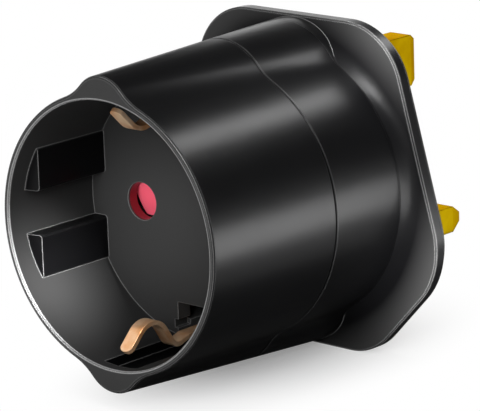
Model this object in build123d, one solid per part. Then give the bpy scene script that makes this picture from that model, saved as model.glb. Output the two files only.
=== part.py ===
from build123d import *
from math import asin, atan2, cos, degrees, radians, sin, sqrt
import os

# Travel adapter: a round earthed two-pin socket on the front, a fused three-pin plug on the back.
# The origin is at the middle of the plug face, on the axis of the barrel. +Y runs along the plug
# pins, away from the socket. +Z is up, on the side of the long earth pin. All sizes are in mm.

# Outer body, measured along the barrel
cup_length = 25.6
barrel_length = 39.4
cove_depth = 2.4
flange_edge = 2.2
face_step = 1.0

# Section of the barrel: a circle with a rounded ear at the top and one at the bottom
recess_r = 19.6
rim_wall = 0.95
barrel_swell = 0.75
sleeve_wall = 2.0
ear_rise = 2.6
ear_step = 0.4
crown_r_front = 5.5
crown_r_back = 11.0
ear_blend_front = 9.0
ear_blend_back = 6.0
rim_round = 0.4
recess_round = 0.2
seam_chamfer = 0.25

# Outline of the flange: how far it stands out from the barrel, and its corners before rounding
flange_rise_top = 3.5
flange_rise_bottom = 4.4
flange_rise_side = 6.0
top_corner_x = 17.6
side_corner_drop = 10.8
bottom_corner_x = 13.4
top_corner_r = 10.5
side_corner_r = 12.0
bottom_corner_r = 10.0
face_inset = 0.9
edge_chamfer = 0.25
edge_land = 0.15

# Socket recess
recess_depth = 17.5
floor_t = 2.6
thin_floor_t = 1.2
pocket_gap = 0.8
pin_spacing = 19.0
hole_r = 2.85
hole_lip = 0.35
collar_wall = 0.5
rib_height = 2.8
rib_gap = 6.6
rib_width = 6.5
rib_setback = 3.2
rib_slope = 0.6
rib_round = 0.5
channel_width = 6.4
channel_setback = 1.9
channel_bite = 1.3
channel_skirt = 2.6
notch_width = 6.2
notch_rise = 5.3
notch_step = 0.7
notch_step_h = 1.3

# Inside of the housing
spigot_length = 3.0
cup_spigot_wall = 1.4
base_spigot_wall = 1.7
face_plate_t = 2.2
pin_seat_wall = 1.6

# Fits
slip = 0.1
run_gap = 0.05
pivot_gap = 0.06
seat_gap = 0.02

# Plug pins
earth_w = 4.0
earth_h = 8.0
earth_length = 22.7
earth_chamfer = 0.8
earth_chamfer_length = 1.2
blade_w = 6.35
blade_h = 4.0
blade_length = 17.7
blade_chamfer = 1.3
blade_chamfer_length = 2.0
pin_side_chamfer = 0.35
blade_x = 11.1
pin_rise = 22.2
blade_z = -8.65
sleeve_length = 9.5
sleeve_root = 1.4
sleeve_t = 0.6
rivet_r = 1.2
rivet_head_r = 2.0
rivet_head_t = 0.7

# Earth strap
strap_w = 2.2
strap_t = 0.7
bridge_w = 3.6
strap_groove = 3.6
strap_run_inset = 1.4
clip_tip = (2.9, 1.8)
clip_apex = (8.2, 7.0)
clip_valley = (12.4, 0.5)
clip_settle = 15.4
apex_r = 3.2
valley_r = 1.5
bend_r = 1.2
tip_round = 0.9

# Contacts
contact_bore_r = 2.35
contact_wall = 0.6
contact_inset = 0.6
contact_root = 4.0
contact_slot = 0.8
contact_slots = 3
tab_t = 0.6
tab_edge = 2.5
tab_margin = 0.5
tab_w = 3.6
live_tab_shift = 0.6
neutral_tab_shift = 0.9
joint_shift = 0.8
joint_rivet_r = 0.8
joint_rivet_head_r = 1.3
joint_rivet_head_t = 0.5

# Contact carrier
carrier_front_gap = 5.5
carrier_back_y = -9.0
carrier_side_wall = 4.55
carrier_top_wall = 3.25
carrier_slack = 0.3
groove_gap = 0.5
bed_gap = 0.2
bed_t = 1.6
mouth_chamfer = 0.5

# Shutter
guide_t = 0.7
rotor_gap = 0.3
hub_r = 5.0
wing_cover = 0.85
wing_w = 6.8
wing_edge_t = 0.9
post_r = 1.9
open_angle = 42.0
stop_r = 0.8
stop_inset = 1.2
stop_gap = 0.15
spring_wire = 0.5
spring_wire_sides = 12
spring_r = 3.4
spring_turns = 2.5
spring_pitch = 0.62
spring_side_gap = 0.35
spring_floor_t = 0.8

# Fuse
fuse_length = 25.4
fuse_r = 3.175
fuse_cap_length = 6.3
fuse_cap_t = 0.35
fuse_top_gap = 1.35
fuse_end_gap = 0.4
clip_t = 0.6
clip_w = 4.0
clip_open_angle = 130.0
clip_inset = 1.1
strip_margin = 0.9
strip_end_gap = 0.3
leg_overhang = 0.4
cover_w = 8.4
cover_t = 1.4
cover_margin = 0.5
cradle_length = 9.0
cradle_depth = 3.6
pull_slot_w = 4.0
pull_slot_h = 1.4
pull_slot_t = 0.6

# Housing screws
screw_inset = 1.1
screw_angle = 32.4
screw_r = 1.4
screw_head_r = 2.7
screw_head_t = 1.5
screw_sink = 0.3
screw_bite = 5.0
screw_tip_gap = 0.5
boss_r = 2.6
boss_length = 7.4
column_r = 3.6
driver_slot = 0.7
prop_r = 1.3
prop_x = 15.6
prop_z = 4.0

# Stations along the axis, worked out from the sizes above
face_y = 0.0
edge_back_y = face_y - face_step
edge_front_y = edge_back_y - flange_edge
junction_y = edge_front_y - cove_depth
rim_y = junction_y - barrel_length
seam_y = rim_y + cup_length
floor_y = rim_y + recess_depth
floor_back_y = floor_y + floor_t
thin_back_y = floor_y + thin_floor_t
guide_back_y = thin_back_y + guide_t
carrier_front_y = floor_y + carrier_front_gap
contact_front_y = carrier_front_y + contact_inset
plate_y = face_y - face_plate_t
tab_back_y = carrier_back_y + tab_t
link_back_y = tab_back_y + clip_t
fuse_y = link_back_y + fuse_r + seat_gap
rotor_front_y = guide_back_y + rotor_gap
rotor_back_y = carrier_front_y - rotor_gap
groove_y = carrier_back_y - strap_groove
strap_back_y = groove_y + strap_t

# Places and radii across the barrel, which is as wide as the recess or the fuse below the earth pin needs
earth_z = blade_z + pin_rise
fuse_top_z = earth_z - earth_h / 2 - fuse_top_gap
fuse_mid_z = fuse_top_z - fuse_length / 2
fuse_reach = fuse_length - fuse_top_z + fuse_end_gap
barrel_front_r = recess_r + rim_wall
barrel_back_r = max(barrel_front_r + barrel_swell, fuse_reach + base_spigot_wall + sleeve_wall)
sleeve_bore_r = barrel_back_r - sleeve_wall
base_bore_r = sleeve_bore_r - base_spigot_wall
cup_bore_r = sleeve_bore_r - cup_spigot_wall
screw_ring_r = cup_bore_r - screw_inset
flange_top = barrel_back_r + flange_rise_top
flange_bottom = barrel_back_r + flange_rise_bottom
side_corner_x = barrel_back_r + flange_rise_side
pin_x = pin_spacing / 2
collar_r = hole_r + collar_wall
contact_r = contact_bore_r + contact_wall
tab_reach = fuse_top_z - clip_inset - tab_margin
wing_r = pin_x + hole_r + wing_cover
pocket_r = wing_r + pocket_gap
bed_r = pocket_r - bed_gap
stop_ring_r = wing_r - stop_inset
carrier_w = 2 * (pin_x + contact_r + carrier_side_wall)
carrier_h = 2 * (contact_r + carrier_top_wall)
rib_face_x = recess_r - rib_height
channel_top = recess_r + channel_bite
channel_foot = recess_r - channel_skirt
strap_run_z = recess_r - strap_run_inset


def across(y):
    """Sketch plane square to the barrel at depth y, with its own axes along +X and +Z."""
    return Plane.XZ.offset(-y)


def slab(shape, y_from, y_to):
    """Sketch shape, drawn as seen from the socket, thickened from one depth to another."""
    return extrude(across(y_from) * shape, amount=y_from - y_to)


def rod(radius, x, z, y_from, y_to):
    return slab(Pos(x, z) * Circle(radius), y_from, y_to)


def cone(r_from, r_to, x, z, y_from, y_to):
    ends = [across(y_from) * Pos(x, z) * Circle(r_from), across(y_to) * Pos(x, z) * Circle(r_to)]
    return loft(ends)


def between(x0, x1, z0, z1):
    """Rectangle sketch from its two sides and its lower and upper edge."""
    return Pos((x0 + x1) / 2, (z0 + z1) / 2) * Rectangle(x1 - x0, z1 - z0)


def ear_arcs(body_r, rise, crown_r, blend_r):
    """One crowned ear with its hollow blends, and the angle where it leaves the round of the body."""
    crown_z = body_r + rise - crown_r
    reach = body_r + blend_r
    blend_z = (reach**2 - (crown_r + blend_r) ** 2 + crown_z**2) / (2 * crown_z)
    blend_x = sqrt(reach**2 - blend_z**2)
    body_a = degrees(atan2(blend_z, blend_x))
    crown_a = degrees(atan2(blend_z - crown_z, blend_x))
    arcs = [
        CenterArc((blend_x, blend_z), blend_r, body_a + 180, crown_a - body_a),
        CenterArc((0, crown_z), crown_r, crown_a, 180 - 2 * crown_a),
        CenterArc((-blend_x, blend_z), blend_r, -crown_a, crown_a - body_a),
    ]
    return arcs, body_a


def barrel_outline(y, inset=0.0):
    """Body section at depth y: a circle with an ear above and one below, which grow towards the flange."""
    share = (y - rim_y) / barrel_length
    body_r = barrel_front_r + (barrel_back_r - barrel_front_r) * share - inset
    crown_r = crown_r_front + (crown_r_back - crown_r_front) * share - inset
    blend_r = ear_blend_front + (ear_blend_back - ear_blend_front) * share + inset
    top_rise = ear_rise + (flange_rise_top - ear_step - ear_rise) * share
    low_rise = ear_rise + (flange_rise_bottom - ear_step - ear_rise) * share
    top, top_a = ear_arcs(body_r, top_rise, crown_r, blend_r)
    low, low_a = ear_arcs(body_r, low_rise, crown_r, blend_r)
    right = CenterArc((0, 0), body_r, -low_a, low_a + top_a)
    left = CenterArc((0, 0), body_r, 180 - top_a, top_a + low_a)
    arcs = [right, *top, left, *[Rot(0, 0, 180) * arc for arc in low]]
    return across(y) * make_face(arcs)


def barrel_form(y_from, y_to, front_round, back_cut):
    """Stretch of the outer body, its front edge eased in two flats and its back edge in one."""
    half_way = front_round * (1 - sqrt(0.5))
    front = [(y_from, front_round), (y_from + half_way, half_way), (y_from + front_round, 0)]
    stations = front + [(y_to - back_cut, 0), (y_to, back_cut)]
    sections = []
    for y, inset in stations:
        if not sections or y > sections[-1][0] + 0.001:
            sections.append((y, inset))
    return loft([barrel_outline(y, inset) for y, inset in sections], ruled=True)


def ear_channel(y_from, y_to):
    """Room for the earth strap inside both ears."""
    cut = slab(between(-channel_width / 2, channel_width / 2, channel_foot, channel_top), y_from, y_to)
    return cut + mirror(cut, Plane.XY)


def guide_ribs():
    """Four keys on the recess wall, two each side, that line the plug up."""
    inner = rib_gap / 2
    key = between(rib_face_x, recess_r + rim_wall / 2, inner, inner + rib_width)
    front_y = rim_y + rib_setback
    rib = slab(key, front_y, floor_y + thin_floor_t)
    corner = (rib_face_x, front_y)
    slope = Polyline(corner, (rib_face_x, front_y + rib_slope), (recess_r, front_y), close=True)
    wedge = extrude(make_face(slope), amount=inner + rib_width + slip)
    rib = rib - wedge
    lengthwise = rib.edges().filter_by(Axis.Y).group_by(Axis.X)[0]
    rib = fillet(lengthwise, rib_round)
    rib &= rod(recess_r + rim_wall / 2, 0, 0, rim_y, floor_back_y)
    ribs = rib + mirror(rib, Plane.XY)
    return ribs + mirror(ribs, Plane.YZ)


def floor_notches():
    """Openings in the recess floor that the earth clips pass through, stepped at both sides."""
    half_w = notch_width / 2
    wide = half_w + notch_step
    sketch = between(-half_w, half_w, recess_r - notch_rise, channel_top)
    sketch += between(-wide, wide, channel_foot, channel_foot + notch_step_h)
    cut = slab(sketch, floor_y - slip, floor_back_y + slip)
    return cut + mirror(cut, Plane.XY)


def screw_spots():
    x = screw_ring_r * cos(radians(screw_angle))
    z = screw_ring_r * sin(radians(screw_angle))
    return [(-x, z), (x, z)]


def prop_spots():
    """Where the housing holds the contact carrier, front and back."""
    return [(side * prop_x, level * prop_z) for side in (-1, 1) for level in (-1, 1)]


def socket_cup():
    """Front moulding: recess, keys, floor with its holes, and the lip that enters the barrel."""
    body = barrel_form(rim_y, seam_y, rim_round, seam_chamfer) - rod(recess_r, 0, 0, rim_y - 1, floor_y)
    body -= cone(recess_r + recess_round, recess_r, 0, 0, rim_y, rim_y + recess_round)
    body += rod(sleeve_bore_r - slip, 0, 0, seam_y - slip, seam_y + spigot_length)
    body -= rod(cup_bore_r, 0, 0, floor_back_y, seam_y + spigot_length + 1)
    body += guide_ribs()
    for x, z in screw_spots():
        boss = rod(boss_r, x, z, floor_back_y - slip, floor_back_y + boss_length)
        body += boss & rod(sleeve_bore_r - slip, 0, 0, floor_y, junction_y)
        hole_end_y = floor_back_y + boss_length - screw_bite - screw_tip_gap
        body -= rod(screw_r + seat_gap, x, z, hole_end_y, junction_y)
    for x, z in prop_spots():
        body += rod(prop_r, x, z, floor_back_y - slip, carrier_front_y)
    body -= rod(pocket_r, 0, 0, thin_back_y, floor_back_y + slip)
    for side in (-1, 1):
        body -= rod(hole_r, side * pin_x, 0, floor_y - slip, thin_back_y)
        body -= rod(collar_r + seat_gap, side * pin_x, 0, floor_y + hole_lip, thin_back_y)
    body -= ear_channel(rim_y + channel_setback, seam_y + spigot_length + 1)
    body -= floor_notches()
    return body


def body_sleeve():
    """Middle barrel between the front moulding and the plug base."""
    body = barrel_form(seam_y, junction_y, seam_chamfer, 0)
    body -= rod(sleeve_bore_r, 0, 0, seam_y - 1, junction_y + 1)
    body -= ear_channel(seam_y - 1, junction_y - spigot_length)
    return body


def flange_outline(inset=0.0):
    """Outline of the plug face: a rounded six-sided shape, wide below and narrow above."""
    corners = [
        (top_corner_x, flange_top, top_corner_r),
        (side_corner_x, -side_corner_drop, side_corner_r),
        (bottom_corner_x, -flange_bottom, bottom_corner_r),
    ]
    right = [(x, z) for x, z, r in corners]
    left = [(-x, z) for x, z in reversed(right)]
    face = make_face(Polyline(*right, *left, close=True))
    for x, z, r in corners:
        spots = [v for v in face.vertices() if abs(abs(v.X) - x) < 0.01 and abs(v.Y - z) < 0.01]
        face = fillet(spots, r)
    if inset:
        face = offset(face, -inset)
    return face


def ray_reach(face, angle):
    """Distance from the middle of a flat outline to its edge, along a direction in degrees."""
    far = 2 * side_corner_x
    ray = Line((0, 0), (far * cos(radians(angle)), far * sin(radians(angle))))
    return (ray & face).length


def flange_cove():
    """Hollow flare from the round of the barrel out to the edge of the flange."""
    barrel_r = barrel_back_r - edge_land
    flange = flange_outline(edge_chamfer + edge_land)
    rays = 60
    angles = [90 + 360 * i / rays for i in range(rays)]
    outer = [ray_reach(flange, a) for a in angles]
    steps = [(0.0, 0.0), (0.22, 0.45), (0.58, 0.82), (1.0, 1.0)]
    sections = []
    for out, deep in steps:
        radii = [barrel_r + (r - barrel_r) * out for r in outer]
        points = [(r * cos(radians(a)), r * sin(radians(a))) for r, a in zip(radii, angles)]
        y = junction_y + cove_depth * deep
        sections.append(across(y) * make_face(Spline(*points, periodic=True)))
    return loft(sections)


def pin_holes(clear):
    """Sketch of the three openings that the pins and their sleeves sit in."""
    spots = Pos(0, earth_z) * Rectangle(earth_w + 2 * clear, earth_h + 2 * clear)
    for side in (-1, 1):
        spots += Pos(side * blade_x, blade_z) * Rectangle(blade_w + 2 * clear, blade_h + 2 * clear)
    return spots


def cover_outline(clear):
    """Outline of the fuse cover in the plug face."""
    half_h = fuse_length / 2 + cover_margin - clear
    half_w = cover_w / 2 - clear
    return between(-half_w, half_w, fuse_mid_z - half_h, fuse_mid_z + half_h)


def plug_base():
    """Rear moulding: flared flange, plug face, seats for the pins and the fuse window."""
    edge = [
        across(edge_front_y) * flange_outline(edge_chamfer),
        across(edge_front_y + edge_chamfer) * flange_outline(),
        across(edge_back_y - edge_chamfer) * flange_outline(),
        across(edge_back_y) * flange_outline(edge_chamfer),
    ]
    body = extrude(barrel_outline(junction_y), amount=junction_y - edge_back_y + edge_chamfer)
    body += flange_cove()
    body += loft(edge, ruled=True)
    body += slab(flange_outline(face_inset), edge_back_y, face_y)
    body += rod(sleeve_bore_r - slip, 0, 0, junction_y - spigot_length, junction_y + slip)
    body -= rod(base_bore_r, 0, 0, junction_y - spigot_length - 1, plate_y)
    seats = offset(pin_holes(slip), pin_seat_wall, kind=Kind.INTERSECTION)
    body += slab(seats, junction_y - 1, plate_y + slip)
    for x, z in screw_spots():
        body += rod(column_r, x, z, junction_y - 1, plate_y + slip)
    for x, z in prop_spots():
        body += rod(prop_r, x, z, carrier_back_y, plate_y + slip)
    whole = Rectangle(4 * side_corner_x, 4 * side_corner_x)
    spigot = rod(sleeve_bore_r - slip, 0, 0, carrier_back_y - 1, junction_y)
    body &= spigot + slab(whole, junction_y, face_y + 1)
    body -= slab(pin_holes(seat_gap), carrier_back_y, face_y + 1)
    body -= slab(cover_outline(0), carrier_back_y, face_y + 1)
    for x, z in screw_spots():
        body -= rod(screw_r + slip, x, z, junction_y - spigot_length - 1, face_y + 1)
        body -= rod(screw_head_r + slip, x, z, face_y - screw_sink - screw_head_t, face_y + 1)
    return body


def pin_bar(width, height, x, z, y_root, length, cut, cut_length):
    """Flat plug pin with its tip tapered above and below, and a little at the sides."""
    bar = slab(Pos(x, z) * Rectangle(width, height), y_root, length - cut_length)
    blunt = Pos(x, z) * Rectangle(width - 2 * pin_side_chamfer, height - 2 * cut)
    full = Pos(x, z) * Rectangle(width, height)
    return bar + loft([across(length - cut_length) * full, across(length) * blunt], ruled=True)


def tail_rivet(x, z, y_root, grip):
    """Tail of a pin, through the strip in front of it and closed over."""
    head_y = y_root - grip
    tail = rod(rivet_r, x, z, head_y - slip, y_root)
    return tail + rod(rivet_head_r, x, z, head_y - rivet_head_t, head_y)


def earth_pin():
    tip = (earth_chamfer, earth_chamfer_length)
    bar = pin_bar(earth_w, earth_h, 0, earth_z, strap_back_y, earth_length, *tip)
    return bar + tail_rivet(0, earth_z, strap_back_y, strap_t)


def sleeve_ring(side, outside):
    ring = Rectangle(blade_w, blade_h)
    if not outside:
        ring = Rectangle(blade_w - 2 * sleeve_t, blade_h - 2 * sleeve_t)
    return Pos(side * blade_x, blade_z) * ring


def blade_pin(side):
    """Live or neutral pin, necked where its insulating sleeve lies flush."""
    x = side * blade_x
    tip = (blade_chamfer, blade_chamfer_length)
    bar = pin_bar(blade_w, blade_h, x, blade_z, link_back_y, blade_length, *tip)
    neck = slab(sleeve_ring(side, True) - sleeve_ring(side, False), -sleeve_root, sleeve_length)
    return bar - neck + tail_rivet(x, blade_z, link_back_y, clip_t)


def pin_sleeve(side):
    return slab(sleeve_ring(side, True) - sleeve_ring(side, False), -sleeve_root, sleeve_length)


def earth_strap():
    """One springy strip: a clip at the top, one at the bottom, and the bridge behind that joins them."""
    run_y = groove_y + strap_t / 2
    path = FilletPolyline(
        (0, rim_y + clip_tip[0], recess_r - clip_tip[1]),
        (0, rim_y + clip_apex[0], recess_r - clip_apex[1]),
        (0, rim_y + clip_valley[0], recess_r - clip_valley[1]),
        (0, rim_y + clip_settle, strap_run_z),
        (0, run_y, strap_run_z),
        (0, run_y, 0),
        radius=(apex_r, valley_r, bend_r, bend_r),
    )
    start = Plane(origin=path @ 0, x_dir=(1, 0, 0), z_dir=path % 0)
    strip = sweep(start * Rectangle(strap_w, strap_t), path=path)
    tip = strip.edges().filter_by(lambda e: abs(e.length - strap_t) < 0.01).sort_by(Axis.Y)[0:2]
    strip = fillet(tip, tip_round)
    strip = strip + mirror(strip, Plane.XY)
    bridge_top = strap_run_z - bend_r
    strip += slab(between(-bridge_w / 2, bridge_w / 2, -bridge_top, bridge_top), groove_y, strap_back_y)
    return strip - rod(rivet_r + run_gap, 0, earth_z, groove_y - 1, strap_back_y + 1)


def spring_contact(side):
    """Slotted tube that grips a round pin, with a flat tab behind for its joint."""
    x = side * pin_x
    tube = rod(contact_r, x, 0, contact_front_y, tab_back_y)
    tab_x = x - live_tab_shift if side > 0 else x - neutral_tab_shift
    low = min(side * tab_edge, side * tab_reach)
    high = max(side * tab_edge, side * tab_reach)
    tube += slab(between(tab_x - tab_w / 2, tab_x + tab_w / 2, low, high), carrier_back_y, tab_back_y)
    tube -= rod(contact_bore_r, x, 0, contact_front_y - 1, tab_back_y + 1)
    tube -= cone(contact_r, contact_bore_r, x, 0, contact_front_y, contact_front_y + contact_wall)
    for i in range(contact_slots):
        turn = -90 * side + 360 * i / contact_slots
        slot = Pos(x, 0) * Rot(0, 0, turn) * between(0, contact_r + 1, -contact_slot / 2, contact_slot / 2)
        tube -= slab(slot, contact_front_y - 1, tab_back_y - contact_root)
    rx, rz = joint_rivet_spot(side)
    return tube - rod(joint_rivet_r + run_gap, rx, rz, carrier_back_y - 1, tab_back_y + 1)


def joint_rivet_spot(side):
    """Middle of the joint between a contact's tab and the strip behind it."""
    if side > 0:
        return (pin_x - live_tab_shift - joint_shift, (tab_edge + tab_reach) / 2)
    return (-pin_x - neutral_tab_shift, -(tab_edge + tab_reach) / 2)


def neutral_link():
    """Flat strip from the neutral contact's tab down to the neutral pin."""
    top = -tab_edge - strip_end_gap
    bottom = blade_z - blade_h / 2 + strip_end_gap
    x0 = -blade_x - blade_w / 2 + strip_margin
    x1 = -pin_x + live_tab_shift
    strip = slab(between(x0, x1, bottom, top), tab_back_y, link_back_y)
    strip -= rod(rivet_r + run_gap, -blade_x, blade_z, tab_back_y - 1, link_back_y + 1)
    rx, rz = joint_rivet_spot(-1)
    return strip - rod(joint_rivet_r + run_gap, rx, rz, tab_back_y - 1, link_back_y + 1)


def fuse_jaw(z_mid):
    """Open ring of spring strip that the end of the fuse snaps into, open towards the plug face."""
    mid_r = fuse_r + seat_gap + clip_t / 2
    opening = clip_open_angle
    arc = CenterArc((0, 0), mid_r, 90 + opening / 2, 360 - opening)
    ring = trace(arc, clip_t)
    seat = Plane(origin=(0, fuse_y, z_mid - clip_w / 2), x_dir=(1, 0, 0), z_dir=(0, 0, 1))
    return extrude(seat * ring, amount=clip_w)


def fuse_clip_upper():
    """Clip for the upper end of the fuse, with a leg to the live contact."""
    z_mid = fuse_mid_z + fuse_length / 2 - clip_inset - clip_w / 2
    foot_y = fuse_y - fuse_r - seat_gap
    leg = between(0, pin_x + leg_overhang, z_mid - clip_w / 2, z_mid + clip_w / 2)
    clip = fuse_jaw(z_mid) + slab(leg, foot_y - clip_t, foot_y)
    rx, rz = joint_rivet_spot(1)
    return clip - rod(joint_rivet_r + run_gap, rx, rz, tab_back_y - 1, link_back_y + 1)


def fuse_clip_lower():
    """Clip for the lower end of the fuse, with an arm up to the live pin."""
    z_mid = fuse_mid_z - fuse_length / 2 + clip_inset + clip_w / 2
    foot_y = fuse_y - fuse_r - seat_gap
    low = z_mid - clip_w / 2
    high = z_mid + clip_w / 2
    right = blade_x + blade_w / 2 - strip_margin
    left = blade_x - blade_w / 2 + strip_margin
    top = blade_z + blade_h / 2 - strip_end_gap
    corner = blade_z - blade_h / 2
    knee = fuse_r + clip_t + strip_margin
    below = [(0, low), (knee, low), (right, corner), (right, top)]
    above = [(left, top), (knee, high), (0, high)]
    arm = make_face(Polyline(*below, *above, close=True))
    clip = fuse_jaw(z_mid) + slab(arm, foot_y - clip_t, foot_y)
    return clip - rod(rivet_r + run_gap, blade_x, blade_z, tab_back_y - 1, link_back_y + 1)


def fuse_cap(end):
    """Metal cap over one end of the fuse tube."""
    z_end = fuse_mid_z + end * fuse_length / 2
    z_lip = z_end - end * fuse_cap_length
    base = Plane(origin=(0, fuse_y, min(z_end, z_lip)), x_dir=(1, 0, 0), z_dir=(0, 0, 1))
    cap = extrude(base * Circle(fuse_r), amount=fuse_cap_length)
    lift = fuse_cap_t if end < 0 else 0
    hollow = Plane(origin=(0, fuse_y, min(z_end, z_lip) + lift), x_dir=(1, 0, 0), z_dir=(0, 0, 1))
    return cap - extrude(hollow * Circle(fuse_r - fuse_cap_t), amount=fuse_cap_length - fuse_cap_t)


def fuse_tube():
    """Ceramic tube, a little waisted where the caps go over it."""
    inside = fuse_length - 2 * fuse_cap_t
    bare = fuse_length - 2 * fuse_cap_length
    foot = Plane(origin=(0, fuse_y, fuse_mid_z - inside / 2), x_dir=(1, 0, 0), z_dir=(0, 0, 1))
    middle = Plane(origin=(0, fuse_y, fuse_mid_z - bare / 2), x_dir=(1, 0, 0), z_dir=(0, 0, 1))
    tube = extrude(foot * Circle(fuse_r - fuse_cap_t), amount=inside)
    return tube + extrude(middle * Circle(fuse_r - slip), amount=bare)


def fuse_cover():
    """Snap-in cover in the plug face, with the cradle that lifts the fuse out."""
    plate = slab(cover_outline(slip), face_y - cover_t, face_y)
    half_w = cover_w / 2 - slip
    z_mid = fuse_mid_z
    cradle = between(-half_w, half_w, z_mid - cradle_length / 2, z_mid + cradle_length / 2)
    plate += slab(cradle, face_y - cover_t - cradle_depth, face_y - cover_t + slip)
    bed = Plane(origin=(0, fuse_y, z_mid - cradle_length), x_dir=(1, 0, 0), z_dir=(0, 0, 1))
    plate -= extrude(bed * Circle(fuse_r + run_gap), amount=2 * cradle_length)
    low = fuse_mid_z - fuse_length / 2 - cover_margin
    slot = between(-pull_slot_w / 2, pull_slot_w / 2, low - 1, low + pull_slot_h)
    return plate - slab(slot, face_y - pull_slot_t, face_y + 1)


def contact_carrier():
    """Insulating block that holds the contacts, the shutter's pivot and its stops."""
    block = rod(cup_bore_r - carrier_slack, 0, 0, carrier_front_y, carrier_back_y)
    block &= slab(Rectangle(carrier_w, carrier_h), carrier_front_y, carrier_back_y)
    block += rod(bed_r, 0, 0, carrier_front_y, carrier_front_y + bed_t)
    for side in (-1, 1):
        block -= rod(contact_r + slip, side * pin_x, 0, carrier_front_y - 1, carrier_back_y + 1)
        wide = contact_r + slip + mouth_chamfer
        mouth_end_y = carrier_front_y + mouth_chamfer
        block -= cone(wide, contact_r + slip, side * pin_x, 0, carrier_front_y, mouth_end_y)
        rx, rz = joint_rivet_spot(side)
        block -= rod(joint_rivet_head_r + slip, rx, rz, carrier_back_y - 1, carrier_back_y + 1)
    half_groove = bridge_w / 2 + groove_gap
    block -= slab(between(-half_groove, half_groove, -carrier_h, carrier_h), groove_y, carrier_back_y + 1)
    block += rod(post_r, 0, 0, guide_back_y + slip, carrier_front_y + slip)
    for x, z in stop_spots():
        block += rod(stop_r, x, z, rotor_front_y, carrier_front_y + slip)
    return block


def stop_spots():
    """Posts beside each wing, one at rest and one where the wing is fully open."""
    side_way = degrees(asin((wing_w / 2 + stop_r + stop_gap) / stop_ring_r))
    turns = [-side_way, open_angle + side_way]
    spots = []
    for start in (0, 180):
        for turn in turns:
            a = radians(start + turn)
            spots.append((stop_ring_r * cos(a), -stop_ring_r * sin(a)))
    return spots


def shutter_guide():
    """Plate behind the recess floor, with a collar that lines each pin hole."""
    plate = rod(pocket_r - slip, 0, 0, thin_back_y, guide_back_y)
    for side in (-1, 1):
        plate += rod(collar_r, side * pin_x, 0, floor_y + hole_lip + seat_gap, thin_back_y + slip)
        plate -= rod(hole_r, side * pin_x, 0, floor_y, guide_back_y + 1)
    return plate


def shutter_rotor():
    """Two ramped wings on a hub, which cover both pin holes until two pins push them round."""
    depth = rotor_back_y - rotor_front_y
    ramp = Polyline(
        (rotor_back_y, wing_w / 2),
        (rotor_back_y - wing_edge_t, wing_w / 2),
        (rotor_front_y, -wing_w / 4),
        (rotor_front_y, -wing_w / 2),
        (rotor_back_y, -wing_w / 2),
        close=True,
    )
    wing = extrude(Plane.YZ * make_face(ramp), amount=wing_r)
    wing &= rod(wing_r, 0, 0, rotor_front_y, rotor_back_y)
    body = rod(hub_r, 0, 0, rotor_front_y, rotor_back_y)
    body += wing
    body += Rot(0, 180, 0) * wing
    well_in = spring_r - spring_wire / 2 - spring_side_gap
    well_out = spring_r + spring_wire / 2 + spring_side_gap
    well_depth = depth - spring_floor_t
    body -= rod(well_out, 0, 0, rotor_back_y - well_depth, rotor_back_y + 1)
    body += rod(well_in, 0, 0, rotor_back_y - well_depth - slip, rotor_back_y)
    return body - rod(post_r + pivot_gap, 0, 0, rotor_front_y - 1, rotor_back_y + 1)


def shutter_spring():
    """Coil round the hub that turns the shutter back over the holes, its round wire drawn with flats."""
    height = spring_pitch * spring_turns
    middle = rotor_back_y - spring_wire / 2 - slip - height
    path = Helix(spring_pitch, height, spring_r, center=(0, middle, 0), direction=(0, 1, 0))
    start = Plane(origin=path @ 0, z_dir=path % 0)
    wire = RegularPolygon(spring_wire / 2, spring_wire_sides)
    return sweep(start * wire, path=path, is_frenet=True)


def housing_screws():
    """Two screws that hold the plug base, the barrel and the front moulding together."""
    tip_y = floor_back_y + boss_length - screw_bite
    head_y = face_y - screw_sink
    group = []
    for x, z in screw_spots():
        screw = rod(screw_r, x, z, tip_y, head_y - screw_head_t + slip)
        screw += rod(screw_head_r, x, z, head_y - screw_head_t, head_y)
        for turn in (0, 90):
            slot = Pos(x, z) * Rot(0, 0, turn) * Rectangle(2 * screw_r, driver_slot)
            screw -= slab(slot, head_y - screw_head_t / 2, head_y + 1)
        group.append(screw)
    return Compound(children=group)


def joint_rivets():
    """Small rivets that hold each contact's tab to the strip behind it."""
    group = []
    for side in (-1, 1):
        x, z = joint_rivet_spot(side)
        rivet = rod(joint_rivet_r, x, z, carrier_back_y - slip, link_back_y + slip)
        rivet += rod(joint_rivet_head_r, x, z, carrier_back_y - joint_rivet_head_t, carrier_back_y)
        rivet += rod(joint_rivet_head_r, x, z, link_back_y, link_back_y + joint_rivet_head_t)
        group.append(rivet)
    return Compound(children=group)


nodes = {
    "socket_cup": socket_cup(),
    "body_sleeve": body_sleeve(),
    "plug_base": plug_base(),
    "earth_pin": earth_pin(),
    "live_pin": blade_pin(1),
    "neutral_pin": blade_pin(-1),
    "live_pin_sleeve": pin_sleeve(1),
    "neutral_pin_sleeve": pin_sleeve(-1),
    "earth_strap": earth_strap(),
    "live_contact": spring_contact(1),
    "neutral_contact": spring_contact(-1),
    "neutral_link": neutral_link(),
    "fuse_clip_upper": fuse_clip_upper(),
    "fuse_clip_lower": fuse_clip_lower(),
    "fuse_tube": fuse_tube(),
    "fuse_cap_upper": fuse_cap(1),
    "fuse_cap_lower": fuse_cap(-1),
    "fuse_cover": fuse_cover(),
    "contact_carrier": contact_carrier(),
    "shutter_guide": shutter_guide(),
    "shutter_rotor": shutter_rotor(),
    "shutter_spring": shutter_spring(),
    "housing_screws": housing_screws(),
    "joint_rivets": joint_rivets(),
}

os.makedirs("parts", exist_ok=True)
for name, shape in nodes.items():
    export_step(shape, f"parts/{name}.step")
    print(name, round(shape.volume, 1))
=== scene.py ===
import math

import bpy
from mathutils import Matrix, Quaternion, Vector


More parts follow.
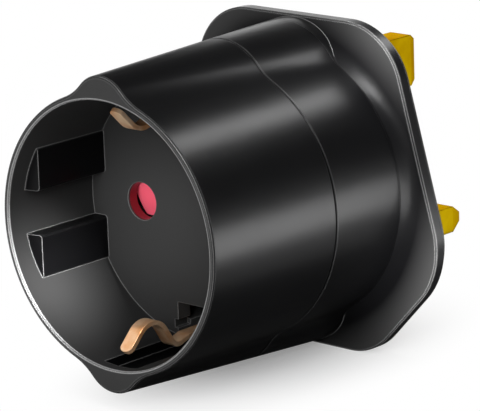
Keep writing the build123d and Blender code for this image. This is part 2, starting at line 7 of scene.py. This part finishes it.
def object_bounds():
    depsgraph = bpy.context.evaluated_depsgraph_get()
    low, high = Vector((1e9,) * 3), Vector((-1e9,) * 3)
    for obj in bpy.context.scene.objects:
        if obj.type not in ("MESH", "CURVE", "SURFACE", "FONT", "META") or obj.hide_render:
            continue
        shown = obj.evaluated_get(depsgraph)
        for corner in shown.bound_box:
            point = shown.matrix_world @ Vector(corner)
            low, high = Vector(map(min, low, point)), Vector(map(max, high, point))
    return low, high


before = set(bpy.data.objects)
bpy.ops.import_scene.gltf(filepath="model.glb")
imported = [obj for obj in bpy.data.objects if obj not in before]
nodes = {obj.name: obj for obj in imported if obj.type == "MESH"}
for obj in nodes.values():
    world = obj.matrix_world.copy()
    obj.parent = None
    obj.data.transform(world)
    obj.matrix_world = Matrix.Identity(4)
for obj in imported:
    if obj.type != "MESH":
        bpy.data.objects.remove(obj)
cadBox = [list(corner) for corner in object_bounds()]
print("frame loaded with", len(nodes), "parts")


# helpers for colour, real sizes and shader nodes

def toLinear(hexColour):
    channels = [int(hexColour[i:i + 2], 16) / 255 for i in (1, 3, 5)]
    return [c / 12.92 if c <= 0.04045 else ((c + 0.055) / 1.055) ** 2.4 for c in channels] + [1.0]


def metres(sizeMm):
    return sizeMm / 1000    # a length or a vector


def perMetre(sizeMm):
    return 1000 / sizeMm    # texture scale that makes one feature sizeMm wide


def addNode(tree, kind, settings=None, links=None):
    # settings are the node's own or its inputs' values, links give the sockets that feed its inputs
    node = tree.nodes.new(kind)
    for name, value in (settings or {}).items():
        if isinstance(name, int) or not hasattr(node, name):
            node.inputs[name].default_value = value
        else:
            setattr(node, name, value)
    for name, socket in (links or {}).items():
        tree.links.new(socket, node.inputs[name])
    return node.outputs[0] if node.outputs else None


def newMaterial(name, settings=None):
    material = bpy.data.materials.new(name)
    material.use_nodes = True
    tree = material.node_tree
    tree.nodes.clear()
    surface = addNode(tree, "ShaderNodeBsdfPrincipled", settings)
    addNode(tree, "ShaderNodeOutputMaterial", None, {"Surface": surface})
    place = addNode(tree, "ShaderNodeTexCoord").node.outputs["Object"]    # metres in the part's own frame
    return material, tree, surface.node, place


# gloss black ABS, injection moulded in a polished tool: deep black with soft reflections, and edges lightened
# a pale grey, partly wear and mostly a painted highlight along them
glossAbs = {
    "colour": "#070708", "flow": "#0d0d0e", "flowMm": 14, "flowDetail": 3,
    "roughness": (0.29, 0.34), "hazeMm": 9, "hazeDetail": 2, "ior": 1.49, "specular": 0.12,
    "peelMm": 2.4, "peelDepthMm": 0.0012, "peelDetail": 1, "roundMm": 0.22,
    # the pale grey below is painted along the edges as a highlight, with a little wear
    "edge": "#6d6d6d", "edgeMm": 0.2, "edgeTurn": (0.998, 0.955), "samples": 6,
}
# the joints between the mouldings: the middle of each along the barrel, and its half width
jointsMm = {"cupSeam": (-19.9, 0.7), "sleeveSeam": (-19.45, 0.2), "flangeJoint": (-5.6, 0.6)}


def makeGlossAbs(name, joints, cored=False, cornerSheen=False):
    p = glossAbs
    settings = {"IOR": p["ior"], "Specular IOR Level": p["specular"]}
    material, tree, shader, place = newMaterial(name, settings)
    flow = addNode(tree, "ShaderNodeTexNoise",
                   {"Scale": perMetre(p["flowMm"]), "Detail": p["flowDetail"]}, {"Vector": place})
    colour = addNode(tree, "ShaderNodeMixRGB",
                     {"Color1": toLinear(p["colour"]), "Color2": toLinear(p["flow"])}, {"Fac": flow})
    haze = addNode(tree, "ShaderNodeTexNoise",
                   {"Scale": perMetre(p["hazeMm"]), "Detail": p["hazeDetail"]}, {"Vector": place})
    gloss = addNode(tree, "ShaderNodeMapRange",
                    {"To Min": p["roughness"][0], "To Max": p["roughness"][1]}, {"Value": haze})
    # each point's place along the barrel's axis, and its distance from it
    axes = addNode(tree, "ShaderNodeSeparateXYZ", None, {"Vector": place}).node.outputs
    across = addNode(tree, "ShaderNodeVectorMath", {"operation": "MULTIPLY", 1: (1, 0, 1)}, {0: place})
    radius = addNode(tree, "ShaderNodeVectorMath", {"operation": "LENGTH"}, {0: across}).node.outputs["Value"]
    if cored:
        colour, gloss = addBloom(tree, colour, gloss, axes, radius)
    if cornerSheen:
        colour = addCornerSheen(tree, colour, axes, radius)
    colour = addEdgeWearAndHighlight(tree, colour, axes, joints)
    peel = addNode(tree, "ShaderNodeTexNoise",
                   {"Scale": perMetre(p["peelMm"]), "Detail": p["peelDetail"]}, {"Vector": place})
    soft = addNode(tree, "ShaderNodeBevel", {"samples": p["samples"], "Radius": metres(p["roundMm"])})
    relief = addNode(tree, "ShaderNodeBump", {"Distance": metres(p["peelDepthMm"])},
                     {"Height": peel, "Normal": soft})
    tree.links.new(colour, shader.inputs["Base Color"])
    tree.links.new(gloss, shader.inputs["Roughness"])
    tree.links.new(relief, shader.inputs["Normal"])
    return material


def addEdgeWearAndHighlight(tree, colour, axes, joints):
    # an edge is where the normal rounded over edgeMm turns away from the true one: a painted highlight line
    p = glossAbs
    smooth = addNode(tree, "ShaderNodeNewGeometry").node.outputs["Normal"]
    rounded = addNode(tree, "ShaderNodeBevel", {"samples": p["samples"], "Radius": metres(p["edgeMm"])})
    likeness = addNode(tree, "ShaderNodeVectorMath", {"operation": "DOT_PRODUCT"}, {0: rounded, 1: smooth})
    edge = addNode(tree, "ShaderNodeMapRange",
                   {"From Min": p["edgeTurn"][0], "From Max": p["edgeTurn"][1]},
                   {"Value": likeness.node.outputs["Value"]})
    # the painted edge highlight is left out inside a joint, so the joint stays dark
    for joint in joints:
        middle, half = [metres(size) for size in jointsMm[joint]]
        hidden = addNode(tree, "ShaderNodeMath", {"operation": "COMPARE", 1: middle, 2: half}, {0: axes["Y"]})
        exposed = addNode(tree, "ShaderNodeMath", {"operation": "SUBTRACT", 0: 1.0}, {1: hidden})
        edge = addNode(tree, "ShaderNodeMath", {"operation": "MULTIPLY"}, {0: edge, 1: exposed})
    return addNode(tree, "ShaderNodeMixRGB", {"Color2": toLinear(p["edge"])}, {"Fac": edge, "Color1": colour})


# grey bloom on the recess and on the front edge, where the spark-eroded core and face of the tool
# touched. Radii are from the barrel's axis and places are along it, and each border is a little soft.
socketBloom = {
    "wall": "#2c2c2c", "floor": "#363636", "roughness": 0.46,
    "coreMm": 19.66, "coreSoftMm": 0.04, "floorMm": -27.6, "floorSoftMm": 0.05,
    "frontMm": -44.93, "frontSoftMm": 0.02,
    "keySideMm": 16.65, "keyRadiusMm": 19.4, "keyMiddleMm": -34.7, "keyHalfMm": 7.1,
    # the rim colour is the pale grey ring painted round the socket's mouth as a highlight
    "rimGlint": "#a4a4a4", "rimGlintMm": 19.88, "rimGlintSoftMm": 0.05, "glintDepthMm": (0.2, 0.35),
}


def addBloom(tree, colour, gloss, axes, radius):
    p = socketBloom
    core, soft = metres(p["coreMm"]), metres(p["coreSoftMm"])
    inside = addNode(tree, "ShaderNodeMapRange", {"From Min": core + soft, "From Max": core - soft},
                     {"Value": radius})
    recess = addNode(tree, "ShaderNodeMath", {"operation": "MULTIPLY"},
                     {0: inside, 1: offKeys(tree, axes, radius)})
    floorY, soft = metres(p["floorMm"]), metres(p["floorSoftMm"])
    floor = addNode(tree, "ShaderNodeMapRange", {"From Min": floorY - soft, "From Max": floorY + soft},
                    {"Value": axes["Y"]})
    frontY, soft = metres(p["frontMm"]), metres(p["frontSoftMm"])
    front = addNode(tree, "ShaderNodeMapRange", {"From Min": frontY + soft, "From Max": frontY - soft},
                    {"Value": axes["Y"]})
    bloom = addNode(tree, "ShaderNodeMath", {"operation": "MAXIMUM"}, {0: recess, 1: front})
    pale = addNode(tree, "ShaderNodeMath", {"operation": "MAXIMUM"}, {0: floor, 1: front})
    grey = addNode(tree, "ShaderNodeMixRGB",
                   {"Color1": toLinear(p["wall"]), "Color2": toLinear(p["floor"])}, {"Fac": pale})
    # a pale ring painted round the mouth of the socket: mostly a painted highlight, partly wear from plugs
    rimGlint, soft = metres(p["rimGlintMm"]), metres(p["rimGlintSoftMm"])
    glintRing = addNode(tree, "ShaderNodeMapRange", {"From Min": rimGlint + soft, "From Max": rimGlint - soft},
                    {"Value": radius})
    near, far = [frontY + metres(depth) for depth in p["glintDepthMm"]]
    glintFront = addNode(tree, "ShaderNodeMapRange", {"From Min": far, "From Max": near}, {"Value": axes["Y"]})
    bright = addNode(tree, "ShaderNodeMath", {"operation": "MULTIPLY"}, {0: glintRing, 1: glintFront})
    grey = addNode(tree, "ShaderNodeMixRGB", {"Color2": toLinear(p["rimGlint"])}, {"Fac": bright, "Color1": grey})
    colour = addNode(tree, "ShaderNodeMixRGB", None, {"Fac": bloom, "Color1": colour, "Color2": grey})
    gloss = addNode(tree, "ShaderNodeMix", {3: p["roughness"]}, {0: bloom, 2: gloss})
    return colour, gloss


def offKeys(tree, axes, radius):
    # 0 on the four keys that stand on the wall, which came out of polished slots in the core, and 1
    # elsewhere
    p = socketBloom
    sideways = addNode(tree, "ShaderNodeMath", {"operation": "ABSOLUTE"}, {0: axes["X"]})
    beside = addNode(tree, "ShaderNodeMath", {"operation": "GREATER_THAN", 1: metres(p["keySideMm"])},
                     {0: sideways})
    within = addNode(tree, "ShaderNodeMath", {"operation": "LESS_THAN", 1: metres(p["keyRadiusMm"])},
                     {0: radius})
    along = addNode(tree, "ShaderNodeMath",
                    {"operation": "COMPARE", 1: metres(p["keyMiddleMm"]), 2: metres(p["keyHalfMm"])},
                    {0: axes["Y"]})
    keys = addNode(tree, "ShaderNodeMath", {"operation": "MULTIPLY"}, {0: beside, 1: within})
    keys = addNode(tree, "ShaderNodeMath", {"operation": "MULTIPLY"}, {0: keys, 1: along})
    return addNode(tree, "ShaderNodeMath", {"operation": "SUBTRACT", 0: 1.0}, {1: keys})


# the front of the flange's corners is painted a lighter grey towards the outer edge: a painted highlight
flangeCornerSheen = {"colour": "#353535", "radiusMm": (23.2, 27.2), "backMm": -2.7}


def addCornerSheen(tree, colour, axes, radius):
    p = flangeCornerSheen
    inner, outer = [metres(size) for size in p["radiusMm"]]
    corner = addNode(tree, "ShaderNodeMapRange", {"From Min": inner, "From Max": outer}, {"Value": radius})
    before = addNode(tree, "ShaderNodeMath", {"operation": "LESS_THAN", 1: metres(p["backMm"])},
                     {0: axes["Y"]})
    # the grey mixed in is the painted highlight on the flange's corners
    sheenMask = addNode(tree, "ShaderNodeMath", {"operation": "MULTIPLY"}, {0: corner, 1: before})
    return addNode(tree, "ShaderNodeMixRGB", {"Color2": toLinear(p["colour"])},
                   {"Fac": sheenMask, "Color1": colour})


# the other plastics: a pigment that drifts in colour where the melt flowed, and the grain of the
# tool, which is drawn a few times coarser than the real one so that it shows
plastics = {
    # glass-filled nylon for the pins' sleeves and the contact block: matt, with a fine spark grain
    "matt_black_nylon": {
        "colour": "#141415", "flow": "#232325", "flowMm": 6, "grainMm": 0.35, "grainDepthMm": 0.008,
        "roughness": (0.42, 0.58), "ior": 1.5, "specular": 0.35, "roundMm": 0.15,
    },
    # the same ABS as the body for the fuse cover, from a finely textured tool: a shade matter
    "textured_black_abs": {
        "colour": "#101011", "flow": "#19191b", "flowMm": 8, "grainMm": 0.45, "grainDepthMm": 0.006,
        "roughness": (0.36, 0.46), "ior": 1.49, "specular": 0.3, "roundMm": 0.2,
    },
    # unfilled red PBT for the shutter, painted a lighter pink that stands in for light on its face: glossy
    "lit_red_pbt": {
        "colour": "#ff5a72", "flow": "#ff7288", "flowMm": 4, "grainMm": 0.6, "grainDepthMm": 0.003,
        "roughness": (0.26, 0.34), "ior": 1.55, "specular": 0.5, "roundMm": 0.15,
    },
    # the same resin painted a deeper red for the guide that lines the holes, standing in for the shade there
    "shaded_red_pbt": {
        "colour": "#60070e", "flow": "#720c14", "flowMm": 4, "grainMm": 0.6, "grainDepthMm": 0.003,
        "roughness": (0.28, 0.36), "ior": 1.55, "specular": 0.5, "roundMm": 0.1,
    },
    # glazed alumina for the fuse's tube: off-white, with a thin uneven glaze
    "glazed_ceramic": {
        "colour": "#d8d2c4", "flow": "#ece8de", "flowMm": 0.7, "grainMm": 3, "grainDepthMm": 0.01,
        "roughness": (0.22, 0.34), "ior": 1.6, "specular": 0.5, "roundMm": 0.1,
    },
}
plasticDetail = {"flow": 4, "grain": 3, "samples": 4}


def makePlastic(name):
    p = plastics[name]
    settings = {"IOR": p["ior"], "Specular IOR Level": p["specular"]}
    material, tree, shader, place = newMaterial(name, settings)
    flow = addNode(tree, "ShaderNodeTexNoise",
                   {"Scale": perMetre(p["flowMm"]), "Detail": plasticDetail["flow"]}, {"Vector": place})
    colour = addNode(tree, "ShaderNodeMixRGB",
                     {"Color1": toLinear(p["colour"]), "Color2": toLinear(p["flow"])}, {"Fac": flow})
    gloss = addNode(tree, "ShaderNodeMapRange",
                    {"To Min": p["roughness"][0], "To Max": p["roughness"][1]}, {"Value": flow})
    grain = addNode(tree, "ShaderNodeTexNoise",
                    {"Scale": perMetre(p["grainMm"]), "Detail": plasticDetail["grain"]}, {"Vector": place})
    soft = addNode(tree, "ShaderNodeBevel",
                   {"samples": plasticDetail["samples"], "Radius": metres(p["roundMm"])})
    relief = addNode(tree, "ShaderNodeBump", {"Distance": metres(p["grainDepthMm"])},
                     {"Height": grain, "Normal": soft})
    tree.links.new(colour, shader.inputs["Base Color"])
    tree.links.new(gloss, shader.inputs["Roughness"])
    tree.links.new(relief, shader.inputs["Normal"])
    return material


# metals: a colour that drifts between bright and tarnished, and lines left by rolling or milling,
# which are drawn several times coarser than the real ones so that they show
metals = {
    # free-cutting brass bar for the pins, milled and left bare: olive yellow, faint lines along it
    "milled_brass": {
        "bright": "#c2a414", "tarnish": "#a8860a", "patchMm": 6, "lineMm": 0.16, "lineDepthMm": 0.0015,
        "stretch": (1, 0.03, 1), "roughness": (0.28, 0.36), "roundMm": 0.25, "metallic": 1.0,
    },
    # rolled phosphor bronze strip for the earth clips, tumbled after bending: soft coppery sheen
    "rolled_phosphor_bronze": {
        "bright": "#ffddb8", "tarnish": "#e6a670", "patchMm": 3.5, "lineMm": 0.14, "lineDepthMm": 0.002,
        "stretch": (1, 0.1, 0.1), "roughness": (0.28, 0.38), "roundMm": 0.14, "metallic": 0.65,
    },
    # half-hard brass strip for the contacts, pressed: a little duller than the pins
    "pressed_contact_brass": {
        "bright": "#dcbf62", "tarnish": "#b08d3a", "patchMm": 5, "lineMm": 0.2, "lineDepthMm": 0.004,
        "stretch": (1, 0.06, 1), "roughness": (0.28, 0.40), "roundMm": 0.1, "metallic": 1.0,
    },
    # bright nickel on the fuse's caps: silvery with a warm tinge
    "nickel_plate": {
        "bright": "#d9d6cf", "tarnish": "#b9b4aa", "patchMm": 4, "lineMm": 0.3, "lineDepthMm": 0.003,
        "stretch": (1, 1, 0.1), "roughness": (0.20, 0.32), "roundMm": 0.12, "metallic": 1.0,
    },
    # zinc plate on the two screws: bluish grey and slightly cloudy
    "zinc_plated_steel": {
        "bright": "#c9cbcf", "tarnish": "#9a9ca3", "patchMm": 2.5, "lineMm": 0.25, "lineDepthMm": 0.004,
        "stretch": (1, 0.2, 1), "roughness": (0.30, 0.45), "roundMm": 0.1, "metallic": 1.0,
    },
    # drawn music wire for the shutter's spring
    "spring_steel": {
        "bright": "#b7b9bd", "tarnish": "#85878d", "patchMm": 2, "lineMm": 0.15, "lineDepthMm": 0.003,
        "stretch": (1, 1, 1), "roughness": (0.25, 0.38), "roundMm": 0.05, "metallic": 1.0,
    },
}
metalDetail = {"patch": 4, "patchRange": (0.35, 0.65), "line": 2, "samples": 6}


def makeMetal(name):
    p = metals[name]
    settings = {"Metallic": p["metallic"], "Specular Tint": toLinear(p["bright"])}
    material, tree, shader, place = newMaterial(name, settings)
    patch = addNode(tree, "ShaderNodeTexNoise",
                    {"Scale": perMetre(p["patchMm"]), "Detail": metalDetail["patch"]}, {"Vector": place})
    low, high = metalDetail["patchRange"]
    tone = addNode(tree, "ShaderNodeMapRange", {"From Min": low, "From Max": high}, {"Value": patch})
    colour = addNode(tree, "ShaderNodeMixRGB",
                     {"Color1": toLinear(p["tarnish"]), "Color2": toLinear(p["bright"])}, {"Fac": tone})
    drawn = addNode(tree, "ShaderNodeMapping", {"Scale": p["stretch"]}, {"Vector": place})
    line = addNode(tree, "ShaderNodeTexNoise",
                   {"Scale": perMetre(p["lineMm"]), "Detail": metalDetail["line"]}, {"Vector": drawn})
    gloss = addNode(tree, "ShaderNodeMapRange",
                    {"To Min": p["roughness"][0], "To Max": p["roughness"][1]}, {"Value": line})
    soft = addNode(tree, "ShaderNodeBevel",
                   {"samples": metalDetail["samples"], "Radius": metres(p["roundMm"])})
    relief = addNode(tree, "ShaderNodeBump", {"Distance": metres(p["lineDepthMm"])},
                     {"Height": line, "Normal": soft})
    tree.links.new(colour, shader.inputs["Base Color"])
    tree.links.new(gloss, shader.inputs["Roughness"])
    tree.links.new(relief, shader.inputs["Normal"])
    return material


finishes = {
    "cored_black_abs": makeGlossAbs("cored_black_abs", ["cupSeam"], cored=True),
    "gloss_black_abs": makeGlossAbs("gloss_black_abs", ["sleeveSeam", "flangeJoint"]),
    "corner_sheen_black_abs": makeGlossAbs("corner_sheen_black_abs", ["flangeJoint"], cornerSheen=True),
    **{name: makePlastic(name) for name in plastics},
    **{name: makeMetal(name) for name in metals},
}
finishOf = {
    "socket_cup": "cored_black_abs", "body_sleeve": "gloss_black_abs", "plug_base": "corner_sheen_black_abs",
    "fuse_cover": "textured_black_abs", "live_pin_sleeve": "matt_black_nylon",
    "neutral_pin_sleeve": "matt_black_nylon", "contact_carrier": "matt_black_nylon",
    "earth_pin": "milled_brass", "live_pin": "milled_brass", "neutral_pin": "milled_brass",
    "earth_strap": "rolled_phosphor_bronze", "joint_rivets": "pressed_contact_brass",
    "live_contact": "pressed_contact_brass", "neutral_contact": "pressed_contact_brass",
    "neutral_link": "pressed_contact_brass", "fuse_clip_upper": "pressed_contact_brass",
    "fuse_clip_lower": "pressed_contact_brass", "fuse_tube": "glazed_ceramic",
    "fuse_cap_upper": "nickel_plate", "fuse_cap_lower": "nickel_plate",
    "shutter_guide": "shaded_red_pbt", "shutter_rotor": "lit_red_pbt", "shutter_spring": "spring_steel",
    "housing_screws": "zinc_plated_steel",
}
for name, node in nodes.items():
    node.data.materials.clear()
    node.data.materials.append(finishes[finishOf[name]])
print("finishes made:", len(finishes))


# white paper on which the adapter stands. It sweeps up at its far edge, so that a low view still has
# a pale background. Its two radii are in metres, and its grain is drawn coarse so that it shows.
paperFloor = {
    "flatRadius": 1.7, "innerShare": 0.2, "sweepRadius": 0.3, "sides": 96, "sweepSteps": 8,
    "colour": "#f6f6f6", "roughness": 0.9, "specular": 0.1, "grainMm": 3, "grainDepthMm": 0.02,
    # the oval where the shadow shows: its shift and stretch, and how far it takes to reach plain white
    "ovalShiftMm": (0, 6, 0), "ovalScale": (1, 0.55, 0), "nearMm": 3, "farMm": 25, "nearGlow": 0.28,
}
floorZ = cadBox[0][2]


def makeFloor():
    p = paperFloor
    rings = [(p["innerShare"] * p["flatRadius"], 0.0), (p["flatRadius"], 0.0)]
    for i in range(1, p["sweepSteps"] + 1):
        a = math.radians(90) * i / p["sweepSteps"]
        rings.append((p["flatRadius"] + p["sweepRadius"] * math.sin(a), p["sweepRadius"] * (1 - math.cos(a))))
    points = [(0, 0, floorZ)]
    faces = []
    for ring, (radius, rise) in enumerate(rings):
        for i in range(p["sides"]):
            a = math.tau * i / p["sides"]
            points.append((radius * math.cos(a), radius * math.sin(a), floorZ + rise))
        for i in range(p["sides"]):
            here = 1 + ring * p["sides"] + i
            side = 1 + ring * p["sides"] + (i + 1) % p["sides"]
            if ring == 0:
                faces.append((0, here, side))
            else:
                faces.append((here - p["sides"], here, side, side - p["sides"]))
    mesh = bpy.data.meshes.new("floor")
    mesh.from_pydata(points, [], faces)
    mesh.shade_smooth()
    floor = bpy.data.objects.new("floor", mesh)
    bpy.context.scene.collection.objects.link(floor)
    mesh.materials.append(makePaper())


def makePaper():
    # matt paper that keeps the shadow near the object and is plain white further out
    p = paperFloor
    settings = {"Base Color": toLinear(p["colour"]), "Roughness": p["roughness"],
                "Specular IOR Level": p["specular"]}
    material, tree, shader, place = newMaterial("white_paper", settings)
    grain = addNode(tree, "ShaderNodeTexNoise", {"Scale": perMetre(p["grainMm"])}, {"Vector": place})
    relief = addNode(tree, "ShaderNodeBump", {"Distance": metres(p["grainDepthMm"])}, {"Height": grain})
    tree.links.new(relief, shader.inputs["Normal"])
    shift = [metres(size) for size in p["ovalShiftMm"]]
    oval = addNode(tree, "ShaderNodeMapping", {"Location": shift, "Scale": p["ovalScale"]}, {"Vector": place})
    distance = addNode(tree, "ShaderNodeVectorMath", {"operation": "LENGTH"}, {0: oval}).node.outputs["Value"]
    clear = addNode(tree, "ShaderNodeMapRange", {
        "From Min": metres(p["nearMm"]), "From Max": metres(p["farMm"]), "To Min": p["nearGlow"],
        "To Max": 1.0, "interpolation_type": "SMOOTHSTEP"}, {"Value": distance})
    path = addNode(tree, "ShaderNodeLightPath").node
    seen = addNode(tree, "ShaderNodeMath", {"operation": "ADD"},
                   {0: path.outputs["Is Camera Ray"], 1: path.outputs["Is Glossy Ray"]})
    seen = addNode(tree, "ShaderNodeMath", {"operation": "ADD", "use_clamp": True},
                   {0: seen, 1: path.outputs["Is Transmission Ray"]})
    share = addNode(tree, "ShaderNodeMath", {"operation": "MULTIPLY"}, {0: clear, 1: seen})
    white = addNode(tree, "ShaderNodeEmission")
    mixed = addNode(tree, "ShaderNodeMixShader", None, {0: share, 1: shader.outputs[0], 2: white})
    tree.links.new(mixed, tree.nodes["Material Output"].inputs["Surface"])
    return material


# a dark grey card on the paper under the barrel, as photographers use for glossy black things: it
# shows only as a reflection, a painted dark reflection that keeps the barrel's underside dark
flagCard = {
    "colour": "#5a5a5a", "roughness": 1.0, "specular": 0.0,
    "middleMm": (10, 0), "sizeMm": (60, 110), "liftMm": 0.2,
}


def makeFlag():
    p = flagCard
    (x, y), (wide, long) = [[metres(size) for size in p[name]] for name in ("middleMm", "sizeMm")]
    z = floorZ + metres(p["liftMm"])
    corners = [(x + i * wide / 2, y + j * long / 2, z) for i, j in ((-1, -1), (1, -1), (1, 1), (-1, 1))]
    mesh = bpy.data.meshes.new("flag")
    mesh.from_pydata(corners, [], [(0, 1, 2, 3)])
    flag = bpy.data.objects.new("flag", mesh)
    bpy.context.scene.collection.objects.link(flag)
    settings = {"Base Color": toLinear(p["colour"]), "Roughness": p["roughness"],
                "Specular IOR Level": p["specular"]}
    mesh.materials.append(newMaterial("dark_reflection_card", settings)[0])
    flag.visible_camera = flag.visible_diffuse = flag.visible_shadow = False
    flag.visible_transmission = flag.visible_volume_scatter = False


makeFloor()
makeFlag()
print("floor and flag laid")


lightRigs = {
    # centre in mm, where it faces, the direction of its long side, long and short side in mm, radiance,
    # and what it is for: "all", "gloss" for a strip that only shows as a reflection, "fill" for light
    # that doesn't
    "overhead": {"at": (-240, -60, 700), "facing": (0.2, 0.05, -1), "along": (1, 0, 0),
                 "size": (900, 620), "glow": 2.2, "use": "all"},
    "sideKey": {"at": (400, -210, 360), "facing": (-0.72, 0.36, -0.62), "along": (0.36, 0.72, 0),
                "size": (260, 260), "glow": 5, "use": "fill"},
    "frontKey": {"at": (200, -480, 250), "facing": (-0.35, 0.8, -0.45), "along": (0.8, 0.35, 0),
                 "size": (300, 300), "glow": 5.6, "use": "fill"},
    # the two long bands on the barrel
    "bandSide": {"at": (50, 0, -5), "facing": (-1, 0, 0), "along": (0, 1, 0),
                 "size": (56, 16), "glow": 11.5, "use": "gloss"},
    "bandTop": {"at": (20, -4, 37), "facing": (0, 0, -1), "along": (0, 1, 0),
                "size": (54, 9), "glow": 13.5, "use": "gloss"},
    # the glint on the upper ear's flank, and the sheen on the pins
    "earCard": {"at": (37, -70, 61), "facing": (-0.49, 0.42, -0.69), "along": (0.65, 0.76, 0),
                "size": (34, 26), "glow": 45, "use": "gloss"},
    "pinCard": {"at": (-45, 62, 34), "facing": (0, -1, 0), "along": (1, 0, 0),
                "size": (66, 56), "glow": 1.6, "use": "gloss"},
}


def makeLight(name, rig):
    longSide, shortSide = [metres(side) for side in rig["size"]]
    light = bpy.data.lights.new(name, "AREA")
    light.shape = "RECTANGLE"
    light.size = longSide
    light.size_y = shortSide
    light.energy = rig["glow"] * math.pi * longSide * shortSide
    lamp = bpy.data.objects.new(name, light)
    back = -Vector(rig["facing"]).normalized()
    up = back.cross(Vector(rig["along"])).normalized()
    turn = Matrix((up.cross(back), up, back)).transposed()
    lamp.matrix_world = Matrix.Translation(metres(Vector(rig["at"]))) @ turn.to_4x4()
    lamp.visible_camera = False
    lamp.visible_diffuse = rig["use"] != "gloss"
    lamp.visible_glossy = rig["use"] != "fill"
    bpy.context.scene.collection.objects.link(lamp)


spotRigs = {
    # centre, what it aims at and how wide its pool of light is there, in mm, how much of the pool its
    # soft border takes, and its watts
    "wallSpot": {"at": (330, -205, 190), "aim": (-16, -41, -10.5), "pool": 19, "blend": 0.7, "watts": 44},
    "flangeSpotTop": {"at": (150, -330, 300), "aim": (17, -3, 19), "pool": 25, "blend": 1.0, "watts": 30},
    "flangeSpotLow": {"at": (320, -330, 20), "aim": (25, -3, -10), "pool": 28, "blend": 1.0, "watts": 25},
    "holeSpot": {"at": (200, -380, 130), "aim": (-8.5, -27, -4), "pool": 28, "blend": 1.0, "watts": 5},
}
spotBulbMm = 6    # the bulb's radius, which softens the shadows


def makeSpot(name, rig):
    centre, aim = [metres(Vector(rig[end])) for end in ("at", "aim")]
    light = bpy.data.lights.new(name, "SPOT")
    light.energy = rig["watts"]
    light.spot_size = 2 * math.atan(metres(rig["pool"]) / 2 / (aim - centre).length)
    light.spot_blend = rig["blend"]
    light.shadow_soft_size = metres(spotBulbMm)
    lamp = bpy.data.objects.new(name, light)
    lamp.location = centre
    lamp.rotation_mode = "QUATERNION"
    lamp.rotation_quaternion = (aim - centre).to_track_quat("-Z", "Y")
    lamp.visible_camera = lamp.visible_glossy = False
    bpy.context.scene.collection.objects.link(lamp)


for name, rig in lightRigs.items():
    makeLight(name, rig)
for name, rig in spotRigs.items():
    makeSpot(name, rig)
print("lamps hung:", len(lightRigs) + len(spotRigs))


# the photograph's view, worked out from the known sizes of the socket and the pins, in degrees and
# mm. The azimuth starts straight in front of the socket.
photoView = {
    "azimuth": 42.251, "elevation": 14.696, "roll": -1.960, "distance": 480.0,
    "target": (-6.64, -9.34, -4.19), "lens": 239.27, "clipStart": 10,
}


def makeCamera():
    p = photoView
    azimuth, elevation, roll = [math.radians(p[name]) for name in ("azimuth", "elevation", "roll")]
    back = Vector((math.sin(azimuth) * math.cos(elevation), -math.cos(azimuth) * math.cos(elevation),
                   math.sin(elevation)))
    camera = bpy.data.objects.new("camera", bpy.data.cameras.new("camera"))
    camera.data.lens = p["lens"]
    camera.data.clip_start = metres(p["clipStart"])
    camera.location = metres(Vector(p["target"]) + back * p["distance"])
    camera.rotation_mode = "QUATERNION"
    camera.rotation_quaternion = (-back).to_track_quat("-Z", "Y") @ Quaternion((0, 0, 1), roll)
    bpy.context.scene.collection.objects.link(camera)
    bpy.context.scene.camera = camera


makeCamera()

roomLight = {"colour": "#ffffff", "strength": 0.10}
world = bpy.data.worlds.new("studio")
world.use_nodes = True
background = world.node_tree.nodes["Background"]
background.inputs["Color"].default_value = toLinear(roomLight["colour"])
background.inputs["Strength"].default_value = roomLight["strength"]
bpy.context.scene.world = world
bpy.context.scene.view_settings.view_transform = "Standard"
print("studio ready")
